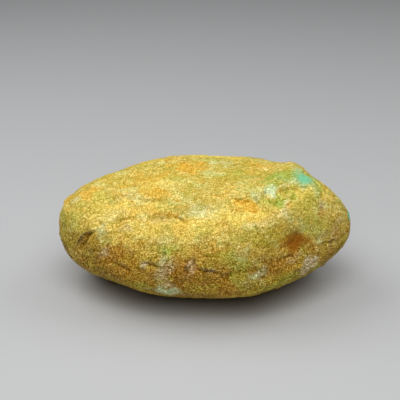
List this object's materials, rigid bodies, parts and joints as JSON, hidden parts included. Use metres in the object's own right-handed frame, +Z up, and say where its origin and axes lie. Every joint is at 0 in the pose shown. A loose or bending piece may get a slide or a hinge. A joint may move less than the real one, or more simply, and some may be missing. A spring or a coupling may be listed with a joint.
{
  "type": "raw jadeite boulder",
  "caption": "Whole river-worn jadeite boulder with a weathered golden skin, resting on its flattened underside.",
  "frame": {"origin": "on the resting face, under the middle of the stone's outline", "axes": "+X along the stone to its right end, the one with the raised shoulder, -Y to its front, +Z up"},
  "size_m": [0.172, 0.1082, 0.0773],
  "materials": {
    "weathered_jadeite": "fine-grained weathered skin, golden olive with rust, pale and blue-green patches, slightly glossy"
  },
  "bodies": {
    "root": {"jadeite_boulder": "weathered_jadeite"}
  },
  "joints": []
}
